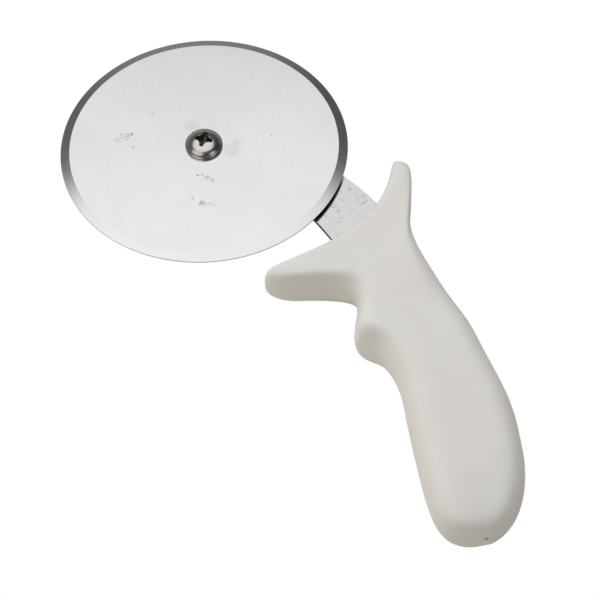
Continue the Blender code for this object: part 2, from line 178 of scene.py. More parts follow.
def lathe(form, profile, segments, closed=True, reshape=None):
    """Turn an (r, z) profile.  reshape(r, z, angle) gives the radius."""
    rows = []
    for radius, z in profile:
        if radius < 1e-6:
            rows.append([form.verts.new((0.0, 0.0, z * MM))])
            continue
        row = []
        for k in range(segments):
            angle = math.tau * k / segments
            reach = reshape(radius, z, angle) if reshape else radius
            row.append(form.verts.new((reach * MM * math.cos(angle),
                                       reach * MM * math.sin(angle), z * MM)))
        rows.append(row)
    pairs = list(zip(rows, rows[1:]))
    if closed:
        pairs.append((rows[-1], rows[0]))
    for first, second in pairs:
        if len(first) > 1 and len(second) > 1:
            bridge(form, first, second)
            continue
        for k in range(segments):
            j = (k + 1) % segments
            if len(first) == 1:
                form.faces.new((first[0], second[k], second[j]))
            else:
                form.faces.new((first[k], second[0], first[j]))


def circle_points(x, y, radius, count):
    return [Vector((x + radius * math.cos(math.tau * k / count),
                    y + radius * math.sin(math.tau * k / count))) for k in range(count)]


def arc_between(centre, start, end, count):
    """Points strictly between start and end, clockwise round the centre."""
    centre = Vector(centre)
    first = math.atan2(start.y - centre.y, start.x - centre.x)
    last = math.atan2(end.y - centre.y, end.x - centre.x)
    while last >= first:
        last -= math.tau
    near, far = (start - centre).length, (end - centre).length
    points = []
    for k in range(1, count):
        angle = first + (last - first) * k / count
        points.append(centre + Vector((math.cos(angle), math.sin(angle)))
                      * (near + (far - near) * k / count))
    return points


def grow(outline, distance):
    """A clockwise outline moved outwards."""
    grown = []
    for i, point in enumerate(outline):
        before, after = outline[i - 1], outline[(i + 1) % len(outline)]
        along_in, along_out = (point - before).normalized(), (after - point).normalized()
        normal_in = Vector((-along_in.y, along_in.x))
        normal_out = Vector((-along_out.y, along_out.x))
        mitre = (normal_in + normal_out).normalized()
        grown.append(point + mitre * (distance / max(0.5, mitre.dot(normal_in))))
    return grown


def evaluated_mesh(obj):
    bpy.context.view_layer.update()
    depsgraph = bpy.context.evaluated_depsgraph_get()
    return bpy.data.meshes.new_from_object(obj.evaluated_get(depsgraph))


def plate_bmesh(loops, base, top):
    """A flat plate from closed outlines, as a welded bmesh."""
    curve = bpy.data.curves.new("outline", "CURVE")
    curve.dimensions = "2D"
    curve.fill_mode = "BOTH"
    curve.extrude = (top - base) * MM / 2
    for loop in loops:
        spline = curve.splines.new("POLY")
        spline.points.add(len(loop) - 1)
        for knot, point in zip(spline.points, loop):
            knot.co = (point.x * MM, point.y * MM, 0.0, 1.0)
        spline.use_cyclic_u = True
    obj = bpy.data.objects.new("outline", curve)
    scene.collection.objects.link(obj)
    form = reopened(evaluated_mesh(obj))
    bmesh.ops.remove_doubles(form, verts=form.verts, dist=1e-6)
    bmesh.ops.translate(form, verts=form.verts, vec=(0, 0, (base + top) * MM / 2))
    bmesh.ops.recalc_face_normals(form, faces=form.faces)
    bpy.data.objects.remove(obj, do_unlink=True)
    bpy.data.curves.remove(curve)
    return form


def plain_object(name, form, materials=()):
    """An object from a bmesh, straight in the scene."""
    mesh = bpy.data.meshes.new(name)
    form.to_mesh(mesh)
    form.free()
    for material in materials:
        mesh.materials.append(material)
    obj = bpy.data.objects.new(name, mesh)
    scene.collection.objects.link(obj)
    return obj


def applied(obj):
    """The object's mesh with its modifiers applied; the object is removed."""
    mesh = evaluated_mesh(obj)
    source = obj.data
    bpy.data.objects.remove(obj, do_unlink=True)
    bpy.data.meshes.remove(source)
    return mesh


def cut(obj, cutter, operation="DIFFERENCE", material_mode="INDEX"):
    mod = obj.modifiers.new("cut", "BOOLEAN")
    mod.operation = operation
    mod.solver = "EXACT"
    mod.object = cutter
    mod.material_mode = material_mode


def soften_edges(obj, width, segments, angle):
    """Bevel the edges steeper than angle degrees."""
    mod = obj.modifiers.new("edges", "BEVEL")
    mod.width = width * MM
    mod.segments = segments
    mod.limit_method = "ANGLE"
    mod.angle_limit = math.radians(angle)


# ----------------------------------------------------------- node helpers
def rgba(value):
    """Give a plain colour its alpha; leave anything else alone."""
    return (*value, 1.0) if isinstance(value, tuple) and len(value) == 3 else value


class Graph:
    """A node tree with short calls for its nodes."""

    def __init__(self, tree):
        self.tree = tree

    def put(self, socket, value):
        if isinstance(value, bpy.types.NodeSocket):
            self.tree.links.new(value, socket)
        else:
            socket.default_value = value

    def new(self, kind, inputs=None, **props):
        node = self.tree.nodes.new("ShaderNode" + kind)
        for key, value in props.items():
            setattr(node, key, value)
        for key, value in (inputs or {}).items():
            self.put(node.inputs[key], value)
        return node

    def math(self, operation, first, second=0.0):
        return self.new("Math", {0: first, 1: second}, operation=operation).outputs[0]

    def add(self, first, second):
        return self.math("ADD", first, second)

    def mul(self, first, second):
        return self.math("MULTIPLY", first, second)

    def most(self, *masks):
        """The greatest of the masks."""
        return reduce(lambda first, second: self.math("MAXIMUM", first, second), masks)

    def smooth(self, value, low, high, start=0.0, end=1.0):
        """Smooth step from start, at low, to end, at high."""
        return self.new("MapRange", {0: value, 1: low, 2: high, 3: start, 4: end},
                        interpolation_type="SMOOTHSTEP", clamp=True).outputs[0]

    def mix(self, factor, low, high):
        """From colour low, at factor 0, to colour high, at 1."""
        return self.new("Mix", {0: factor, 6: rgba(low), 7: rgba(high)},
                        data_type="RGBA").outputs[2]


class Shader(Graph):
    """A Principled material whose textures work in mm."""

    def __init__(self, name, metallic=1.0):
        self.material = bpy.data.materials.new(name)
        self.material.use_nodes = True
        super().__init__(self.material.node_tree)
        self.bsdf = self.tree.nodes["Principled BSDF"]
        self.set("Metallic", metallic)
        spot = self.new("TexCoord").outputs["Object"]
        self.mm = self.new("VectorMath", {0: spot, "Scale": 1 / MM},
                           operation="SCALE").outputs[0]
        self.normal = None

    @cached_property
    def place(self):
        """The x, y and z sockets."""
        return tuple(self.new("SeparateXYZ", {0: self.mm}).outputs)

    def set(self, socket, value):
        self.put(self.bsdf.inputs[socket], value)

    def finish(self, base, rough):
        self.set("Base Color", rgba(base))
        self.set("Roughness", rough)
        return self.material

    def fall(self, value, low, high):
        """1 below low, 0 above high."""
        return self.smooth(value, low, high, start=1.0, end=0.0)

    def line_at(self, level, value, full, gone):
        """A line where value meets level: 1 within full of it, 0 beyond gone."""
        gap = self.math("ABSOLUTE", self.math("SUBTRACT", value, level))
        return self.fall(gap, low=full, high=gone)

    def blend(self, factor, low, high):
        """From number low, at factor 0, to number high, at 1."""
        return self.new("Mix", {0: factor, 2: low, 3: high}, data_type="FLOAT").outputs[0]

    def tinge(self, base, mask, amount, tint):
        """Tint the base where the mask is, by at most amount."""
        return self.mix(self.mul(mask, amount), base, tint)

    def plus(self, value, mask, share):
        """Add a share of the mask to a value."""
        return self.add(value, self.mul(mask, share))

    def vec(self, x, y, z):
        return self.new("CombineXYZ", {0: x, 1: y, 2: z}).outputs[0]

    def stretch(self, x, y, z, turn=0.0):
        """Position turned about Z, in radians, and scaled along each axis."""
        node = self.new("Mapping", {0: self.mm})
        node.inputs["Scale"].default_value = (x, y, z)
        node.inputs["Rotation"].default_value = (0.0, 0.0, turn)
        return node.outputs[0]

    def noise(self, scale=1.0, detail=3.0, rough=0.5, vector=None, distort=0.0):
        return self.new("TexNoise", {"Vector": vector or self.mm, "Scale": scale,
                                     "Detail": detail, "Roughness": rough,
                                     "Distortion": distort}).outputs[0]

    def ripple(self, noise, amount):
        """Noise centred on 0 and scaled by amount."""
        return self.mul(self.math("SUBTRACT", noise, 0.5), amount)

    def cells(self, scale):
        """Distance to the nearest of a scatter of points."""
        return self.new("TexVoronoi", {"Vector": self.mm, "Scale": scale},
                        feature="F1").outputs["Distance"]

    def length(self, x, y):
        return self.new("VectorMath", {0: self.vec(x, y, 0.0)},
                        operation="LENGTH").outputs["Value"]

    def radius(self):
        """Distance from the axle."""
        return self.length(*self.place[:2])

    def distance(self, x, y):
        """Distance from a point, seen along Z."""
        here_x, here_y = self.place[:2]
        return self.length(self.math("SUBTRACT", here_x, x),
                           self.math("SUBTRACT", here_y, y))

    def spots(self, table, soft):
        """One mask for each (x, y, radius): 1 in the spot, with an edge soft wide."""
        return [self.fall(self.distance(x, y), low=radius - soft / 2, high=radius + soft / 2)
                for x, y, radius in table]

    def bump(self, height, strength, distance):
        inputs = {"Height": height, "Strength": strength, "Distance": distance * MM}
        if self.normal is not None:
            inputs["Normal"] = self.normal
        self.normal = self.new("Bump", inputs).outputs[0]
        self.set("Normal", self.normal)


# ------------------------------------------------- marks on the steel, in mm
# each mark: x, y, radius
WHEEL_DROPS = [(-9.9, -1.6, 2.8), (4.6, 8.6, 3.0), (2.4, 11.6, 1.6)]
WHEEL_FLECKS = [
    (-11.8, -28.0, 1.5), (-12.4, -25.6, 1.9), (-12.9, -23.2, 0.9), (-19.7, -14.0, 0.8),
    (14.6, -2.9, 1.3), (16.0, -1.4, 0.8), (24.9, -7.4, 1.6), (25.9, -4.4, 1.2),
    (21.6, -10.1, 0.4), (-25.8, 25.2, 0.6), (2.9, 24.1, 0.5), (34.0, -33.7, 1.3)]
WHEEL_DOTS = [
    (12.3, -5.7, 0.42), (12.5, -4.2, 0.34), (-13.0, -22.8, 0.5), (21.6, -10.1, 0.3),
    (24.6, -7.5, 0.6), (-7.0, -23.9, 0.35), (44.9, -20.8, 0.4)]
ARM_DROPS = [(38.4, 45.6, 1.5), (37.8, 35.7, 0.8), (40.5, 36.4, 0.5), (32.4, 43.2, 0.4)]
ARM_DOTS = [
    (35.6, 40.9, 0.30), (36.7, 39.4, 0.34), (34.9, 44.4, 0.26), (41.3, 31.9, 0.36),
    (45.3, 35.3, 0.34), (42.8, 40.2, 0.28), (44.3, 42.8, 0.26), (38.9, 47.0, 0.30)]
# faint scratches on the wheel: direction in radians, offset into the noise
HAIRLINES = [(0.5, 0.0), (1.35, 7.0), (2.3, 13.0)]


# -------------------------------------------------------------- materials
def blade_flat():
    mat = Shader("blade_flat")
    broad = mat.noise(scale=0.045, detail=2.0)
    cloud = mat.noise(scale=0.35, detail=4.0, rough=0.55)
    grain = mat.noise(detail=2.0, rough=0.6,
                      vector=mat.stretch(x=0.25, y=9.0, z=1.0, turn=math.radians(20)))
    base = mat.mix(mat.smooth(broad, low=0.3, high=0.7),
                   low=(0.765, 0.77, 0.785), high=(0.80, 0.80, 0.805))
    base = mat.tinge(base, mat.smooth(cloud, low=0.55, high=0.8),
                     amount=0.10, tint=(0.70, 0.70, 0.70))
    # dried drops beside the screw
    edge = mat.ripple(mat.noise(scale=0.5), amount=3.0)
    drops = mat.most(*[
        mat.fall(mat.add(mat.distance(x, y), edge), low=radius - 1.3, high=radius + 0.9)
        for x, y, radius in WHEEL_DROPS])
    base = mat.tinge(base, drops, amount=0.13, tint=(0.62, 0.62, 0.60))
    # dried residue in broken flecks
    curl = mat.noise(scale=0.62, detail=2.0, distort=0.9)
    strokes = mat.line_at(0.5, curl, full=0.012, gone=0.034)
    blots = mat.smooth(mat.noise(scale=1.5, detail=4.0, rough=0.65, distort=0.6),
                       low=0.57, high=0.63)
    flecks = mat.most(strokes, blots)
    zones = mat.most(*mat.spots(WHEEL_FLECKS, soft=1.0))
    dots = mat.most(*mat.spots(WHEEL_DOTS, soft=0.35))
    marks = mat.most(mat.mul(flecks, zones), dots)
    base = mat.tinge(base, marks, amount=0.40, tint=(0.30, 0.29, 0.28))
    rough = mat.blend(grain, low=0.13, high=0.19)
    rough = mat.plus(rough, drops, share=0.05)
    rough = mat.plus(rough, marks, share=0.25)
    for turn, offset in HAIRLINES:
        vector = mat.new("VectorMath", {0: mat.stretch(x=0.035, y=4.5, z=1.0, turn=turn),
                                        1: (offset, offset, 0.0)}, operation="ADD").outputs[0]
        line = mat.noise(detail=1.0, vector=vector)
        rough = mat.plus(rough, mat.smooth(line, low=0.665, high=0.70), share=0.05)
    mat.bump(grain, strength=0.04, distance=0.004)
    return mat.finish(base, rough)


def blade_ground():
    mat = Shader("blade_ground")
    radius = mat.radius()
    unit_x, unit_y = [mat.math("DIVIDE", side, radius) for side in mat.place[:2]]

    def polar(around, outward):
        """Texture place, scaled round the wheel and outwards."""
        return mat.vec(mat.mul(unit_x, around), mat.mul(unit_y, around),
                       mat.mul(radius, outward))

    fine = mat.noise(rough=0.7, vector=polar(around=5.0, outward=9.0))
    wide = mat.noise(detail=2.0, rough=0.6, vector=polar(around=3.0, outward=2.4))
    cross = mat.noise(detail=2.0, vector=polar(around=60.0, outward=0.6))
    base = mat.mix(fine, low=(0.72, 0.712, 0.705), high=(0.835, 0.825, 0.815))
    base = mat.tinge(base, mat.smooth(wide, low=0.56, high=0.72),
                     amount=0.25, tint=(0.55, 0.54, 0.53))
    rough = mat.plus(mat.blend(fine, low=0.12, high=0.22), cross, share=0.04)
    mat.bump(mat.plus(fine, wide, share=0.6), strength=0.22, distance=0.006)
    return mat.finish(base, rough)


def rim_steel_painted_shade():
    # The dark base colour is painted shade: it darkens the wheel's upright rim wall, the same
    # steel as the flat, to the tone that wall is seen in.
    mat = Shader("rim_steel_painted_shade")
    noise = mat.noise(scale=2.0)
    mat.bump(noise, strength=0.2, distance=0.01)
    return mat.finish(base=(0.36, 0.345, 0.335), rough=mat.blend(noise, low=0.28, high=0.42))


def arm_face():
    mat = Shader("arm_face")
    base = mat.mix(mat.noise(scale=0.12), low=(0.630, 0.621, 0.613), high=(0.665, 0.656, 0.646))
    # water marks: thin outlines round dried drops
    ring = mat.line_at(0.50, mat.noise(scale=0.26, detail=2.0, distort=0.5),
                       full=0.0035, gone=0.011)
    where = mat.smooth(mat.noise(scale=0.15, detail=2.0), low=0.50, high=0.58)
    dots = mat.mul(mat.fall(mat.cells(scale=0.55), low=0.17, high=0.24),
                   mat.smooth(mat.noise(scale=0.5, detail=1.0), low=0.50, high=0.60))
    dot_share = 0.7
    marks = mat.most(mat.mul(ring, where), mat.mul(dots, dot_share))
    # drops dried near the arm's bend, and a scatter of small ones
    wave = mat.ripple(mat.noise(scale=0.9), amount=1.6)
    for x, y, radius in ARM_DROPS:
        edge = mat.plus(mat.distance(x, y), wave, share=radius)
        marks = mat.most(marks, mat.line_at(radius, edge, full=0.05, gone=0.22))
    small_share = 0.8
    for spot in mat.spots(ARM_DOTS, soft=0.3):
        marks = mat.most(marks, mat.mul(spot, small_share))
    base = mat.tinge(base, marks, amount=0.45, tint=(0.42, 0.41, 0.39))
    grain = mat.noise(detail=2.0, rough=0.6,
                      vector=mat.stretch(x=0.3, y=7.0, z=1.0, turn=math.radians(-42)))
    mat.bump(grain, strength=0.04, distance=0.004)
    rough = mat.plus(mat.blend(grain, low=0.09, high=0.15), marks, share=0.2)
    return mat.finish(base, rough)


def sheared_edge_painted_shade():
    # The streaks are the shear's own texture; the dark base colour is painted shade, darkening
    # the arm's side walls to the tone they are seen in.
    mat = Shader("sheared_edge_painted_shade")
    streak = mat.noise(rough=0.6, vector=mat.stretch(x=3.0, y=3.0, z=0.4))
    mat.bump(streak, strength=0.3, distance=0.03)
    return mat.finish(base=mat.mix(streak, low=(0.15, 0.147, 0.143), high=(0.24, 0.235, 0.23)),
                      rough=mat.blend(streak, low=0.30, high=0.48))


def bolt_steel():
    mat = Shader("bolt_steel")
    tumble = mat.noise(scale=2.2, detail=4.0, rough=0.6)
    stain = mat.noise(scale=0.45, rough=0.55)
    base = mat.mix(tumble, low=(0.60, 0.575, 0.545), high=(0.69, 0.665, 0.635))
    base = mat.tinge(base, mat.smooth(stain, low=0.5, high=0.75),
                     amount=0.35, tint=(0.40, 0.375, 0.34))
    mat.bump(tumble, strength=0.12, distance=0.02)
    return mat.finish(base, rough=mat.blend(tumble, low=0.13, high=0.21))


def recess_painted_shade():
    # The near-black base colour is painted shade: it darkens the deep cross recess to the tone it
    # is seen in.
    mat = Shader("recess_painted_shade")
    noise = mat.noise(scale=2.5, detail=4.0, rough=0.6)
    mat.bump(noise, strength=0.3, distance=0.03)
    return mat.finish(base=mat.mix(noise, low=(0.100, 0.090, 0.079), high=(0.165, 0.150, 0.132)),
                      rough=mat.blend(noise, low=0.40, high=0.62))


def turned_metal(name, low, high, rough, lines=6.0):
    """Metal with fine turned rings, between two colours."""
    mat = Shader(name)
    across, up = mat.mul(mat.radius(), lines), mat.mul(mat.place[2], lines)
    ring = mat.noise(detail=2.0, rough=0.6, vector=mat.vec(across, up, 0.0))
    mottle = mat.noise(scale=1.4)
    mat.bump(ring, strength=0.18, distance=0.01)
    average = mat.mul(mat.add(ring, mottle), 0.5)
    return mat.finish(base=mat.mix(average, low, high),
                      rough=mat.blend(mottle, low=rough - 0.05, high=rough + 0.08))


def nylon():
    mat = Shader("natural_nylon", metallic=0.0)
    noise = mat.noise(scale=0.9)
    mat.set("Subsurface Weight", 0.2)
    mat.set("Subsurface Radius", (1.0, 0.9, 0.7))
    mat.set("Subsurface Scale", 0.001)
    mat.bump(mat.noise(scale=5.0, detail=2.0), strength=0.15, distance=0.02)
    return mat.finish(base=mat.mix(noise, low=(0.70, 0.69, 0.63), high=(0.78, 0.77, 0.72)),
                      rough=mat.blend(noise, low=0.42, high=0.55))


def moulded_plastic():
    mat = Shader("moulded_plastic", metallic=0.0)
    cloud = mat.noise(scale=0.035)
    flow = mat.noise(detail=2.0, vector=mat.stretch(x=0.02, y=0.10, z=0.10))
    base = mat.mix(mat.smooth(cloud, low=0.3, high=0.7),
                   low=(0.775, 0.755, 0.720), high=(0.80, 0.788, 0.762))
    base = mat.tinge(base, mat.smooth(flow, low=0.45, high=0.75),
                     amount=0.25, tint=(0.77, 0.757, 0.72))
    # small dark inclusions and handling marks
    speck = mat.mul(mat.fall(mat.cells(scale=0.16), low=0.018, high=0.034),
                    mat.smooth(mat.noise(scale=0.2, detail=1.0), low=0.55, high=0.6))
    base = mat.tinge(base, speck, amount=0.5, tint=(0.42, 0.38, 0.31))
    rub = mat.smooth(mat.noise(scale=0.11, detail=4.0, rough=0.6), low=0.56, high=0.72)
    base = mat.tinge(base, rub, amount=0.10, tint=(0.66, 0.64, 0.59))
    fine = mat.noise(scale=2.6, rough=0.55)
    mat.set("IOR", 1.49)
    mat.set("Specular IOR Level", 0.42)
    mat.set("Subsurface Weight", 0.22)
    mat.set("Subsurface Radius", (1.0, 0.86, 0.72))
    mat.set("Subsurface Scale", 0.0022)
    mat.bump(fine, strength=0.10, distance=0.02)
    mat.bump(mat.noise(scale=0.28, detail=2.0), strength=0.10, distance=0.06)
    return mat.finish(base, rough=mat.plus(mat.blend(fine, low=0.44, high=0.54), rub, share=0.06))


def gate_mark():
    mat = Shader("gate_mark", metallic=0.0)
    noise = mat.noise(scale=3.0)
    mat.bump(noise, strength=0.3, distance=0.05)
    return mat.finish(base=mat.mix(noise, low=(0.30, 0.28, 0.24), high=(0.42, 0.40, 0.35)),
                      rough=0.6)


M_FLAT, M_GROUND, M_RIM_SHADE = blade_flat(), blade_ground(), rim_steel_painted_shade()
M_ARM, M_SHEAR_SHADE = arm_face(), sheared_edge_painted_shade()
M_BOLT, M_RECESS_SHADE = bolt_steel(), recess_painted_shade()
M_THREAD = turned_metal("thread_steel", low=(0.48, 0.46, 0.43), high=(0.60, 0.58, 0.55),
                        rough=0.30, lines=3.0)
M_WASHER = turned_metal("washer_steel_fine", low=(0.52, 0.51, 0.50), high=(0.64, 0.63, 0.62),
                        rough=0.30)
M_SPRING = turned_metal("spring_steel_fine", low=(0.36, 0.35, 0.34), high=(0.50, 0.49, 0.48),
                        rough=0.36, lines=3.0)
M_NUT = turned_metal("nut_steel_fine", low=(0.52, 0.51, 0.50), high=(0.63, 0.62, 0.61),
                     rough=0.26, lines=4.0)
M_BRONZE = turned_metal("oiled_bronze", low=(0.50, 0.36, 0.20), high=(0.64, 0.47, 0.28),
                        rough=0.34, lines=8.0)
M_NYLON = nylon()
M_PLASTIC, M_GATE = moulded_plastic(), gate_mark()


# ---------------------------------------------------------- cutting wheel
def build_wheel():
    corners = [(RUNNING_R, WHEEL_TOP), (GRIND_R, WHEEL_TOP), (WHEEL_R, WHEEL_TOP - GRIND_DROP),
               (WHEEL_R, WHEEL_BASE + RIM_CHAMFER_UP), (WHEEL_R - RIM_CHAMFER_IN, WHEEL_BASE),
               (RUNNING_R, WHEEL_BASE)]
    profile = fillet(corners, [0.12, 0.25, 0.03, 0.05, 0.1, 0.12], steps=4, hold=0.04)
    # extra rows keep the wide flats even
    rows = []
    for (r0, z0), (r1, z1) in zip(profile, profile[1:] + profile[:1]):
        rows.append((r0, z0))
        if abs(z0 - z1) < 1e-6 and abs(r0 - r1) > 10:
            rows += [(r0 + (r1 - r0) * k / 6, z0) for k in range(1, 6)]
    form = bmesh.new()
    lathe(form, rows, 384)
    mesh = finish_mesh("cutter_wheel", form, (M_FLAT, M_GROUND, M_RIM_SHADE), sharp=30.0)
    for face in mesh.polygons:
        centre = face.center / MM
        radius = math.hypot(centre.x, centre.y)
        if face.normal.z > 0.3 and radius > GRIND_R + 0.02:
            face.material_index = 1
        # upright faces at the rim and the bore take the rim steel, whose dark base is painted
        # shade
        elif abs(face.normal.z) < 0.8 and (radius > WHEEL_R - 1.0 or radius < BUSH_R + 0.3):
            face.material_index = 2
    add_part("cutter_wheel", mesh, WHEEL)


# -------------------------------------------------------------------- arm
ARM_HEADING = 66.7        # degrees from +X, where the line leaves the hub
ARM_PATH = [(48.0, 71.0), (32.0, 76.0), (56.0, None)]  # length, bend radius
ARM_HALF = 9.7            # half width beside the hub
ARM_FLARE = 1.0           # added where the arm enters the guard
TANG_HALF = 7.5           # half width of the tang
ARM_WIDEN = (36.0, 64.0)  # where it widens, measured along the centre line
ARM_TAPER = (68.0, 90.0)  # and where it narrows to the tang
LOCK_HOLES = [(81.0, 44.5), (104.0, 46.0)]
LOCK_HOLE_R = 3.6
ARM_BORE = 3.4


def ease(value, start, end):
    """0 before start, 1 after end, and smooth between them."""
    t = min(1.0, max(0.0, (value - start) / (end - start)))
    return t * t * (3.0 - 2.0 * t)


def arm_outline(step, end_count, hub_count):
    """Closed outline of the arm, clockwise from the hub's upper (+Y) side."""
    spot, heading, gone = Vector((0.0, 0.0)), math.radians(ARM_HEADING), 0.0
    upper, lower = [], []

    def mark():
        half = ARM_HALF + ARM_FLARE * ease(gone, *ARM_WIDEN)
        half += (TANG_HALF - half) * ease(gone, *ARM_TAPER)
        side = Vector((-math.sin(heading), math.cos(heading))) * half
        upper.append(spot + side)
        lower.append(spot - side)

    for length, radius in ARM_PATH:
        count = max(1, round(length / step))
        pace = length / count
        for _ in range(count):
            mark()
            turn = pace / radius if radius else 0.0
            middle = heading - turn / 2
            spot = spot + Vector((math.cos(middle), math.sin(middle))) * pace
            heading -= turn
            gone += pace
    mark()
    lower.reverse()
    end = arc_between(spot, upper[-1], lower[0], end_count)
    hub = arc_between((0.0, 0.0), lower[-1], upper[0], hub_count)
    return upper + end + lower + hub


def build_arm():
    loops = [arm_outline(step=1.4, end_count=24, hub_count=40),
             circle_points(0, 0, ARM_BORE, 96)]
    loops += [circle_points(x, y, LOCK_HOLE_R, 64) for x, y in LOCK_HOLES]
    arm = plain_object("arm", plate_bmesh(loops, ARM_BASE, ARM_TOP))
    soften_edges(arm, width=0.28, segments=3, angle=50)
    mesh = finish_mesh("support_arm", reopened(applied(arm)), (M_ARM, M_SHEAR_SHADE))
    for face in mesh.polygons:
        # side walls take the sheared edge, whose dark base is painted shade
        face.material_index = 0 if abs(face.normal.z) > 0.35 else 1
        # the bevel must not bend the shading of the plate's wide flats
        face.use_smooth = abs(face.normal.z) < 0.999
    add_part("support_arm", mesh, ROOT)


# ------------------------------------------------------------- axle screw
RECESS_TURN = 58.0        # degrees from +X to the first arm of the cross
# layers of the cross recess: z, reach, half width at the tip, half width at the core
RECESS_LAYERS = [(16.6, 3.75, 0.74, 1.46), (15.2, 3.24, 0.70, 1.36),
                 (13.9, 2.65, 0.60, 1.16), (13.0, 1.20, 0.45, 0.60)]
SHANK_R = 3.05            # plain shank under the head
SHANK_END = 8.2
THREAD_START = 8.0        # the thread's upper end
THREAD_FADE = 0.8         # it reaches full depth over this height
THREAD_END = 0.62
THREAD_PITCH = 1.27
THREAD_MAJOR, THREAD_MINOR = 3.12, 2.62
THREAD_ROW_R = 3.0        # nominal radius of the rows that the thread reshapes
# rounded lower tip: r, z
SCREW_TIP = [(THREAD_ROW_R, 0.6), (2.9, 0.45), (2.75, 0.25), (2.6, 0.1), (2.5, 0.0), (0.0, 0.0)]


def recess_cutter():
    form = bmesh.new()
    rows = []
    for z, reach, tip, core in RECESS_LAYERS:
        flank = [(reach * 0.62, tip + (core - tip) * 0.30), (reach - tip * 0.45, tip),
                 (reach - tip * 0.10, tip * 0.72), (reach, tip * 0.28)]
        # one arm of the cross, from its inner corner round the tip
        points = [(core, -core)] + [(x, -y) for x, y in flank] + flank[::-1]
        row = []
        for quarter in range(4):
            angle = math.radians(RECESS_TURN + 90 * quarter)
            for x, y in points:
                row.append(form.verts.new(((x * math.cos(angle) - y * math.sin(angle)) * MM,
                                           (x * math.sin(angle) + y * math.cos(angle)) * MM,
                                           z * MM)))
        rows.append(row)
    for first, second in zip(rows, rows[1:]):
        bridge(form, first, second)
    form.faces.new(rows[0])
    form.faces.new(rows[-1][::-1])
    bmesh.ops.recalc_face_normals(form, faces=form.faces)
    return plain_object("recess", form, (M_RECESS_SHADE,))


def thread_radius(radius, z, angle):
    """Radius of the screw's surface, with the thread worked in."""
    if z > THREAD_START + 0.05:
        return radius
    phase = (z / THREAD_PITCH - angle / math.tau) % 1.0
    ridge = 1.0 - abs(2.0 * phase - 1.0)
    depth = min(1.0, max(0.0, (THREAD_START - z) / THREAD_FADE))
    groove = min(1.0, max(0.0, 1.25 * ridge - 0.125)) * depth
    body = THREAD_MAJOR - (THREAD_MAJOR - THREAD_MINOR) * groove
    return min(radius, body) if z < 0.65 else body


def screw_profile():
    dome_base = HEAD_BASE + HEAD_SKIRT
    rise = HEAD_TOP - HEAD_BASE - HEAD_SKIRT
    profile = []
    for k in range(31):
        angle = math.radians(90 * k / 30)
        profile.append((HEAD_R * math.sin(angle), dome_base + rise * math.cos(angle)))
    skirt = fillet([(HEAD_R, dome_base), (HEAD_R, HEAD_BASE), (SHANK_R, HEAD_BASE)],
                   [0, 0.12, 0], steps=4, hold=0.03)
    profile += skirt[1:] + [(SHANK_R, HEAD_BASE - 0.03), (SHANK_R, SHANK_END)]
    z = THREAD_START
    while z > THREAD_END:
        profile.append((THREAD_ROW_R, z))
        z -= THREAD_PITCH / 10
    return profile + SCREW_TIP


def build_screw():
    form = bmesh.new()
    lathe(form, screw_profile(), 128, closed=False, reshape=thread_radius)
    bmesh.ops.recalc_face_normals(form, faces=form.faces)
    screw = plain_object("screw", form, (M_BOLT, M_RECESS_SHADE))
    cutter = recess_cutter()
    cut(screw, cutter, material_mode="TRANSFER")
    mesh = applied(screw)
    bpy.data.objects.remove(cutter, do_unlink=True)
    # the slots that carry the recess's painted shade, passed on from the cutter's faces
    recess_slots = [i for i, material in enumerate(mesh.materials)
                    if material and material.name == M_RECESS_SHADE.name]
    # soften the recess's edge where it meets the dome
    form = reopened(mesh)
    lip = [edge for edge in form.edges if len(edge.link_faces) == 2
           and len({face.material_index in recess_slots for face in edge.link_faces}) == 2]
    bmesh.ops.bevel(form, geom=lip, offset=0.09 * MM, segments=2, profile=0.5, affect="EDGES",
                    clamp_overlap=True, material=0)
    mesh = finish_mesh("axle_screw", form, (M_BOLT, M_RECESS_SHADE, M_THREAD), sharp=40.0)
    for face in mesh.polygons:
        if (face.center / MM).z < THREAD_START + 0.1:
            face.material_index = 2
        else:
            face.material_index = 1 if face.material_index in recess_slots else 0
    add_part("axle_screw", mesh, ROOT)


# ------------------------------------------------- bushing, washers, nut
SPRING_BORE = 3.45
SPRING_R = BOXES["spring_washer"][1][1]
SPRING_PITCH = 0.24       # rise from one end of the split ring to the other
SPRING_SLANT = 0.11       # radians the cut ends lean over the bar's height
SPRING_STEPS = 120
NUT_FLATS = 11.1          # across flats
NUT_TURN = 20             # degrees


def build_ring(node, bore, radii, segments, material, body):
    """A ring whose radii round its corners, from the bore's top outwards and down."""
    base, top = z_span(node)
    outer = outer_radius(node)
    form = bmesh.new()
    corners = [(bore, top), (outer, top), (outer, base), (bore, base)]
    lathe(form, fillet(corners, radii, steps=4, hold=0.03), segments)
    add_part(node, finish_mesh(node, form, (material,)), body)


def build_rings():
    build_ring("axle_bushing", bore=3.3, radii=[0.15, 0.2, 0.2, 0.15], segments=192,
               material=M_BRONZE, body=ROOT)
    build_ring("thrust_washer", bore=RUNNING_R, radii=[0.12, 0.22, 0.22, 0.12], segments=192,
               material=M_NYLON, body=LOOSE)
    build_ring("plain_washer", bore=3.4, radii=[0.06, 0.08, 0.3, 0.25], segments=160,
               material=M_WASHER, body=ROOT)


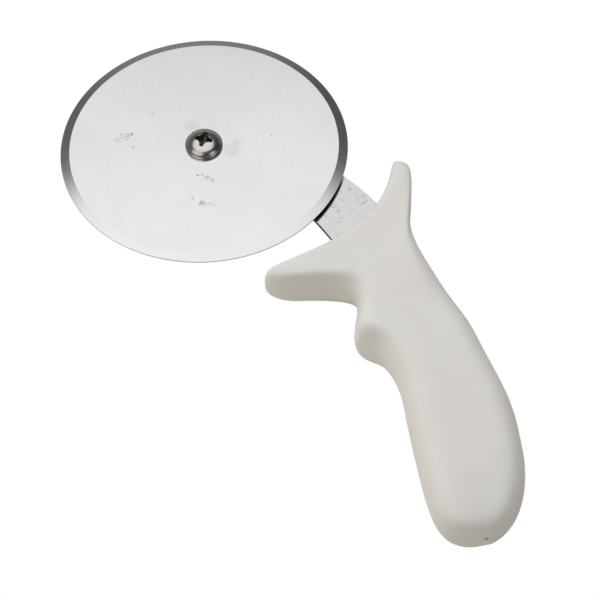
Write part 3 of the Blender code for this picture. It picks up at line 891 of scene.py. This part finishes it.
def build_spring_washer():
    """A rounded bar swept almost once round, its ends apart."""
    base, top = z_span("spring_washer")
    form = bmesh.new()
    half_slit = math.asin(0.55 / 5.0)
    bar_height = (top - base) - 0.26
    half = bar_height / 2
    middle = (base + top) / 2
    section = fillet([(SPRING_BORE, half), (SPRING_R, half * 0.96),
                      (SPRING_R, -half * 0.96), (SPRING_BORE, -half)],
                     [0.15, 0.22, 0.22, 0.15], steps=3, hold=0.03)
    rows = []
    for k in range(SPRING_STEPS + 1):
        around = half_slit + (math.tau - 2 * half_slit) * k / SPRING_STEPS
        lift = (k / SPRING_STEPS - 0.5) * SPRING_PITCH
        row = []
        for radius, z in section:
            angle = around + (z / bar_height) * SPRING_SLANT
            row.append(form.verts.new((radius * MM * math.cos(angle),
                                       radius * MM * math.sin(angle), (middle + z + lift) * MM)))
        rows.append(row)
    for first, second in zip(rows, rows[1:]):
        for k in range(len(section)):
            j = (k + 1) % len(section)
            form.faces.new((first[k], first[j], second[j], second[k]))
    form.faces.new(rows[0][::-1])
    form.faces.new(rows[-1])
    add_part("spring_washer", finish_mesh("spring_washer", form, (M_SPRING,)),
             ROOT)


def build_nut():
    """Jam nut: turned corners, countersunk bore, softened edges."""
    base, top = z_span("axle_nut")
    corner_r = NUT_FLATS / math.sqrt(3) * MM
    form = bmesh.new()
    bmesh.ops.create_cone(form, cap_ends=True, segments=6, radius1=corner_r, radius2=corner_r,
                          depth=(top - base) * MM,
                          matrix=Matrix.Translation((0, 0, (base + top) / 2 * MM))
                          @ Matrix.Rotation(math.radians(NUT_TURN), 4, "Z"))
    nut = plain_object("nut", form)
    # the turned body that the hexagon is cut down to: r, z
    turned = [(3.62, top + 0.05), (4.95, top + 0.05), (7.2, top - 1.05), (7.2, base + 1.05),
              (4.95, base - 0.05), (3.62, base - 0.05), (3.2, base + 0.4), (3.2, top - 0.4)]
    form = bmesh.new()
    lathe(form, turned, 96)
    bmesh.ops.recalc_face_normals(form, faces=form.faces)
    body = plain_object("turn", form)
    cut(nut, body, "INTERSECT")
    soften_edges(nut, width=0.09, segments=2, angle=22)
    mesh = applied(nut)
    bpy.data.objects.remove(body, do_unlink=True)
    mesh.materials.clear()
    mesh.materials.append(M_NUT)
    shade(mesh, sharp=25)
    mesh.name = "axle_nut_fine"
    add_part("axle_nut", mesh, ROOT)


# ----------------------------------------------------------------- handle
# each row: (x, y) on the lower (-Y) side, (x, y) on the upper (+Y) side
OUTLINE = [
    ((60.5, 4.4), (26.9, 60.3)),       # front corners of the guard
    ((63.0, 3.9), (28.7, 62.7)),       # ear tips
    ((66.5, 8.0), (32.0, 65.0)),       # round the tips
    ((68.5, 15.5), (42.0, 62.0)),      # backs of the ears
    ((73.0, 26.5), (54.0, 57.5)),      # neck corner
    ((79.0, 30.5), (66.0, 57.0)),      # neck
    ((95.0, 25.5), (90.0, 60.5)),      # finger bump
    ((101.0, 31.0), (102.0, 63.0)),    # behind the bump
    ((114.0, 33.5), (114.0, 64.0)),    # hollow
    ((137.0, 30.5), (137.0, 65.0)),    # palm
    ((160.0, 28.0), (160.0, 60.5)),    # heel
    ((171.0, 29.5), (172.0, 53.5)),    # butt corner
    ((176.4, 38.0), (177.2, 43.5)),    # butt end
]
ROW_STEP = 12.0           # distance between rows of the cage on a long side
GUARD_HALF = 8.7          # half thickness of the guard
GRIP_HALF = 11.8          # and of the grip
SWELL = (45.0, 92.0)      # x over which it grows from one to the other
FRONT_DROP = 1.0          # the front row's half thickness is less by this
BUTT_X = 177.0
BUTT_LENGTH = 16.0        # the butt rounds off over this length
BUTT_BLUNT = 0.87         # 1 would round it to an edge
FRONT_BOW = 11.0          # how far the guard's front curves towards the butt
BOW_FADE = (45.0, 85.0)   # x over which that curve dies out
BOW_SKEW = 0.35           # how much it leans to the upper side
EDGE_IN = 2.3             # outermost row, in from each side
EAR_IN = 1.0              # the same on the ears, whose ends are steeper
EAR_ROWS = 3              # rows of the cage that belong to the ears
SHOULDER_IN = 6.0         # next row in
SIDE_EDGE = 0.77          # height of the outermost row, of the half thickness
FRONT_EDGE = 0.92         # the same along the top of the guard's front
SHOULDER_TOP = 0.985      # height of the shoulder row above the middle plane
SHOULDER_BASE = 1.0       # and below it: the underside is a flat strip to lie on
FRONT_BULGE = 0.5         # how far each end face stands out
BUTT_BULGE = 1.2
SEAM_RIDGE = 0.05         # height of the mould's parting line
SEAM_HALF = 0.16
SEAM_START = 66.0         # the line is raised only beyond this x
GATE_Y, GATE_Z = 41.2, 9.3    # where the moulding was fed, on the butt's end
# ring-shaped pit round the gate's stub: r, height over the surface
GATE_PIT = [(0.16, 0.5), (0.95, 0.5), (0.62, -0.02), (0.50, -0.28), (0.28, -0.30), (0.20, -0.05)]
TANG_GAP = 0.06           # between the moulding and the arm


def edge_in(row):
    return EAR_IN if row < EAR_ROWS else EDGE_IN


def outline_rows():
    """Rows across the handle: a spline through the outline's pairs."""
    knots = [Vector((*lower, *upper)) for lower, upper in OUTLINE]
    ends = [knots[0] * 2 - knots[1]] + knots + [knots[-1] * 2 - knots[-2]]
    rows = []
    for p0, p1, p2, p3 in zip(ends, ends[1:], ends[2:], ends[3:]):
        leap = p2 - p1
        longest = max(leap.xy.length, math.hypot(leap[2], leap[3]))
        count = max(1, round(longest / ROW_STEP))
        for k in range(count):
            t = k / count
            rows.append(0.5 * (2 * p1 + (p2 - p0) * t
                               + (2 * p0 - 5 * p1 + 4 * p2 - p3) * t * t
                               + (3 * p1 - p0 - 3 * p2 + p3) * t ** 3))
    rows.append(knots[-1].copy())
    return rows


def cage_rows():
    """The rows pushed out, so that the smoothed surface meets the outline.

    Smoothing draws a row in by a third of the way to the row beside it, and
    by a sixth of its bend along the handle.
    """
    wanted = []
    for i, row in enumerate(outline_rows()):
        first, last = Vector(row[:2]), Vector(row[2:])
        out = (last - first).normalized() * (edge_in(i) / 3)
        wanted.append(Vector((*(first - out), *(last + out))))
    rows = [row.copy() for row in wanted]
    for _ in range(12):
        bends = [rows[i - 1] - 2 * rows[i] + rows[i + 1] for i in range(1, len(rows) - 1)]
        rows = ([wanted[0].copy()]
                + [row - bend / 6 for row, bend in zip(wanted[1:-1], bends)]
                + [wanted[-1].copy()])
    return rows


def half_thickness(row, x):
    half = GUARD_HALF + (GRIP_HALF - GUARD_HALF) * ease(x, *SWELL)
    half -= FRONT_DROP if row == 0 else 0.0
    near = max(0.0, (x - BUTT_X + BUTT_LENGTH) / BUTT_LENGTH)
    return half * math.sqrt(max(0.0, 1.0 - (BUTT_BLUNT * near) ** 2))


def close_end(form, ring, out):
    """Close an end of the cage with a face that stands out along the handle."""
    first, top, last, base, along = ring
    middle = [first]
    for above, below in zip(top[1:-1], base[1:-1]):
        point = (above.co + below.co) / 2
        point.x += along.x * out * MM
        point.y += along.y * out * MM
        middle.append(form.verts.new(point))
    middle.append(last)
    for j in range(len(middle) - 1):
        form.faces.new((top[j], top[j + 1], middle[j + 1], middle[j]))
        form.faces.new((middle[j], middle[j + 1], base[j + 1], base[j]))


def handle_cage():
    """Cage of the handle: one closed ring of vertices for each row."""
    form = bmesh.new()
    rings = []
    for i, row in enumerate(cage_rows()):
        first, last = Vector(row[:2]), Vector(row[2:])
        across = last - first
        width = across.length
        along = Vector((across.y, -across.x)) / width    # towards the butt
        x = (first.x + last.x) / 2
        bow = FRONT_BOW * (1.0 - ease(x, *BOW_FADE))
        half = half_thickness(i, x)
        edge = FRONT_EDGE if i < 2 else SIDE_EDGE
        edge_at = min(edge_in(i) / width, 0.085)
        shoulder_at = min(SHOULDER_IN / width, 0.25)
        columns = [edge_at, shoulder_at]
        columns += [shoulder_at + (1 - 2 * shoulder_at) * k / 5 for k in (1, 2, 3, 4)]
        columns += [1 - shoulder_at, 1 - edge_at]
        heights = [edge, SHOULDER_TOP, 1.0, 1.0, 1.0, 1.0, SHOULDER_TOP, edge]
        depths = [SIDE_EDGE, SHOULDER_BASE, 1.0, 1.0, 1.0, 1.0, SHOULDER_BASE, SIDE_EDGE]

        def vertex(u, z):
            """A vertex at share u of the width and z over the middle plane."""
            point = first + across * u
            point += along * (bow * 4 * u * (1 - u) * (1 + BOW_SKEW * (2 * u - 1)))
            return form.verts.new((point.x * MM, point.y * MM, (HANDLE_MID + z) * MM))

        top = [vertex(u, half * k) for u, k in zip(columns, heights)]
        base = [vertex(u, -half * k) for u, k in zip(columns, depths)]
        rings.append((vertex(0.0, 0.0), top, vertex(1.0, 0.0), base, along))
    loops = [[ring[0]] + ring[1] + [ring[2]] + ring[3][::-1] for ring in rings]
    for here, beyond in zip(loops, loops[1:]):
        bridge(form, here, beyond)
    close_end(form, rings[0], -FRONT_BULGE)
    close_end(form, rings[-1], BUTT_BULGE)
    bmesh.ops.recalc_face_normals(form, faces=form.faces)
    return form


def raise_seam(form):
    """Parting line: split the edge loop on the middle plane and raise it."""
    middle = HANDLE_MID * MM
    loop = [edge for edge in form.edges
            if all(abs(vert.co.z - middle) < 2e-6 for vert in edge.verts)
            and max(vert.co.x for vert in edge.verts) > SEAM_START * MM]
    grown = bmesh.ops.bevel(form, geom=loop, offset=SEAM_HALF * MM, segments=2, profile=1.0,
                            affect="EDGES", clamp_overlap=True)
    form.normal_update()
    for vert in grown["verts"]:
        if abs(vert.co.z - middle) < 4e-6:
            vert.co += vert.normal * SEAM_RIDGE * MM


def tang_cutter():
    """The room for the tang, with pegs left standing in its lock holes."""
    loops = [grow(arm_outline(step=2.0, end_count=16, hub_count=24), TANG_GAP)]
    loops += [circle_points(x, y, LOCK_HOLE_R - TANG_GAP, 48) for x, y in LOCK_HOLES]
    form = plate_bmesh(loops, ARM_BASE - TANG_GAP, ARM_TOP + TANG_GAP)
    return plain_object("slot", form, (M_PLASTIC,))


def gate_cutter(place, normal):
    """Vestige of the gate: a small pit with a stub in it."""
    turn = normal.to_track_quat("Z", "Y").to_matrix().to_4x4()
    form = bmesh.new()
    lathe(form, GATE_PIT, 32)
    bmesh.ops.transform(form, matrix=Matrix.Translation(place) @ turn, verts=form.verts)
    bmesh.ops.recalc_face_normals(form, faces=form.faces)
    return plain_object("pit", form, (M_GATE,))


def build_handle():
    cage = plain_object("handle", handle_cage())
    smoothing = cage.modifiers.new("form", "SUBSURF")
    smoothing.levels = smoothing.render_levels = 3
    form = reopened(applied(cage))
    raise_seam(form)
    surface = BVHTree.FromBMesh(form)
    gate, normal, _, _ = surface.ray_cast(Vector((0.5, GATE_Y * MM, GATE_Z * MM)),
                                          Vector((-1.0, 0.0, 0.0)))
    handle = plain_object("handle", form, (M_PLASTIC, M_GATE))
    tang = tang_cutter()
    cut(handle, tang)
    pit = gate_cutter(gate, normal)
    cut(handle, pit, material_mode="TRANSFER")
    mesh = applied(handle)
    for cutter in (tang, pit):
        bpy.data.objects.remove(cutter, do_unlink=True)
    shade(mesh, sharp=48)
    mesh.name = "handle_fine"
    add_part("handle", mesh, ROOT)


build_wheel()
build_arm()
build_screw()
build_rings()
build_spring_washer()
build_nut()
build_handle()


# ------------------------------------------------------------------ world
# left, right, front and back are as the camera sees them
LEFT = (-0.292, -0.956, 0.0)
BACK = (-0.956, 0.292, 0.0)
WALLS = [(-1.0, 0.05), (0.0, 0.105), (1.0, 0.14)]   # brightness by the cosine from LEFT
BACK_GLOW = 0.18                                    # added low on the back wall
BACK_EDGE = [(0.15, 0.0), (0.90, 1.0)]              # its share by the cosine from BACK
BACK_HEIGHT = [(0.20, 1.0), (0.42, 0.0)]            # and by height
BOX_AXIS = Vector((-0.207, -0.018, 0.978)).normalized()
BOX_EDGE = [(0.765, 0.0), (0.878, 1.06), (0.94, 1.10)]      # by the cosine from its axis
BOX_SLOPE = 0.055         # how much brighter the box is towards the left
# two plain windows, front left and front right: direction, radius of the full and
# of the faded part in degrees, brightness
WINDOWS = [((0.38, -0.68, 0.63), 19.0, 34.0, 0.86), ((0.72, 0.50, 0.48), 8.0, 22.0, 0.70)]
WINDOW_FILL = 0.70        # share of a window's light that rays other than glossy ones see
TINT_HEIGHT = [(0.70, 0.0), (0.95, 1.0)]            # from cool to warm light, by height
COOL, WARM = (0.985, 0.99, 1.0), (1.0, 0.985, 0.965)


def light_world():
    """Soft studio: a round soft box overhead, leaning to the back, and dim walls."""
    world = bpy.data.worlds.new("studio")
    scene.world = world
    world.use_nodes = True
    world.node_tree.nodes.clear()
    graph = Graph(world.node_tree)
    generated = graph.new("TexCoord").outputs["Generated"]
    ray = graph.new("VectorMath", {0: generated}, operation="NORMALIZE").outputs[0]

    def ramp(value, stops):
        """Piecewise smooth curve through (position, value) stops."""
        total = stops[0][1]
        for (x0, v0), (x1, v1) in zip(stops, stops[1:]):
            total = graph.add(total, graph.smooth(value, x0, x1, start=0.0, end=v1 - v0))
        return total

    def cosine(axis):
        return graph.new("VectorMath", {0: ray, 1: tuple(axis)},
                         operation="DOT_PRODUCT").outputs["Value"]

    height = graph.new("SeparateXYZ", {0: ray}).outputs[2]
    left = cosine(LEFT)
    glow = graph.mul(ramp(cosine(BACK), BACK_EDGE), ramp(height, BACK_HEIGHT))
    walls = graph.add(ramp(left, WALLS), graph.mul(glow, BACK_GLOW))
    box = graph.mul(ramp(cosine(BOX_AXIS), BOX_EDGE),
                    graph.add(1.0, graph.mul(left, BOX_SLOPE)))
    strength = graph.most(walls, box)
    path = graph.new("LightPath")
    seen = graph.add(WINDOW_FILL,
                     graph.mul(path.outputs["Is Glossy Ray"], 1.0 - WINDOW_FILL))
    for place, inner, outer, brightness in WINDOWS:
        pane = ramp(cosine(Vector(place).normalized()),
                    [(math.cos(math.radians(outer)), 0.0),
                     (math.cos(math.radians(inner)), brightness)])
        strength = graph.most(strength, graph.mul(pane, seen))
    tint = graph.mix(ramp(height, TINT_HEIGHT), COOL, WARM)
    studio = graph.new("Background", {"Color": tint, "Strength": strength})
    white = graph.new("Background", {"Color": (1, 1, 1, 1), "Strength": 1.0})
    mix = graph.new("MixShader", {0: path.outputs["Is Camera Ray"],
                                  1: studio.outputs[0], 2: white.outputs[0]})
    graph.new("OutputWorld", {"Surface": mix.outputs[0]})


light_world()


# ------------------------------------------------------- lights and floor
STAGE_X, STAGE_Y = 0.085, 0.03    # middle of the tool, in metres


def soft_light(name, direction, distance, size, watts, tint):
    """A round lamp aimed at the tool, left out of reflections.  Lengths in metres."""
    direction = Vector(direction).normalized()
    lamp = bpy.data.lights.new(name, "AREA")
    lamp.shape = "DISK"
    lamp.size = size
    lamp.energy = watts
    lamp.color = tint
    obj = bpy.data.objects.new(name, lamp)
    obj.location = Vector((STAGE_X, STAGE_Y, 0.0)) + direction * distance
    obj.rotation_euler = direction.to_track_quat("Z", "Y").to_euler()
    obj.visible_glossy = False
    scene.collection.objects.link(obj)


soft_light("left_window", direction=(-0.50, -0.62, 0.60), distance=1.0, size=0.8,
           watts=2.9, tint=COOL)
soft_light("overhead_fill", direction=(-0.25, 0.10, 1.0), distance=1.1, size=1.3,
           watts=3.4, tint=WARM)
soft_light("front_fill", direction=(0.80, -0.45, 0.30), distance=1.1, size=0.9,
           watts=0.3, tint=(0.99, 0.99, 1.0))


def pale_floor():
    """A pale disc that the camera sees as pure white."""
    form = bmesh.new()
    bmesh.ops.create_circle(form, cap_ends=True, segments=96, radius=4.0)
    floor = plain_object("studio_floor", form)
    floor.location = (STAGE_X, STAGE_Y, FLOOR_Z * MM)
    material = bpy.data.materials.new("pale_floor")
    material.use_nodes = True
    graph = Graph(material.node_tree)
    bsdf = graph.tree.nodes["Principled BSDF"]
    bsdf.inputs["Base Color"].default_value = (0.92, 0.88, 0.78, 1.0)
    bsdf.inputs["Roughness"].default_value = 0.7
    white = graph.new("Emission", {"Color": (1, 1, 1, 1)})
    path = graph.new("LightPath")
    mix = graph.new("MixShader", {0: path.outputs["Is Camera Ray"],
                                  1: bsdf.outputs[0], 2: white.outputs[0]})
    graph.put(graph.tree.nodes["Material Output"].inputs["Surface"], mix.outputs[0])
    floor.data.materials.append(material)


pale_floor()


# ----------------------------------------------------------------- camera
AZIMUTH, ELEVATION, ROLL = math.radians(-15.24), math.radians(53.96), math.radians(-2.18)
AIM, DISTANCE = Vector((0.0659, 0.0147, 0.0)), 0.7610     # metres


def place_camera():
    lens = bpy.data.cameras.new("camera")
    lens.sensor_width = 36.0
    lens.lens = 134.78
    lens.clip_start = 0.05
    lens.clip_end = 20.0
    lens.shift_x, lens.shift_y = -0.0005, 0.0004
    camera = bpy.data.objects.new("camera", lens)
    scene.collection.objects.link(camera)
    toward = Vector((math.cos(ELEVATION) * math.cos(AZIMUTH),
                     math.cos(ELEVATION) * math.sin(AZIMUTH), math.sin(ELEVATION)))
    level = Vector((0.0, 0.0, 1.0)).cross(toward).normalized()
    right = Matrix.Rotation(ROLL, 3, toward) @ level
    up = toward.cross(right)
    spot = AIM + toward * DISTANCE
    camera.matrix_world = Matrix((
        (right.x, up.x, toward.x, spot.x),
        (right.y, up.y, toward.y, spot.y),
        (right.z, up.z, toward.z, spot.z),
        (0.0, 0.0, 0.0, 1.0)))
    scene.camera = camera


place_camera()

scene.view_settings.view_transform = "Standard"
scene.view_settings.look = "None"
scene.view_settings.exposure = 0.0
scene.view_settings.gamma = 1.0
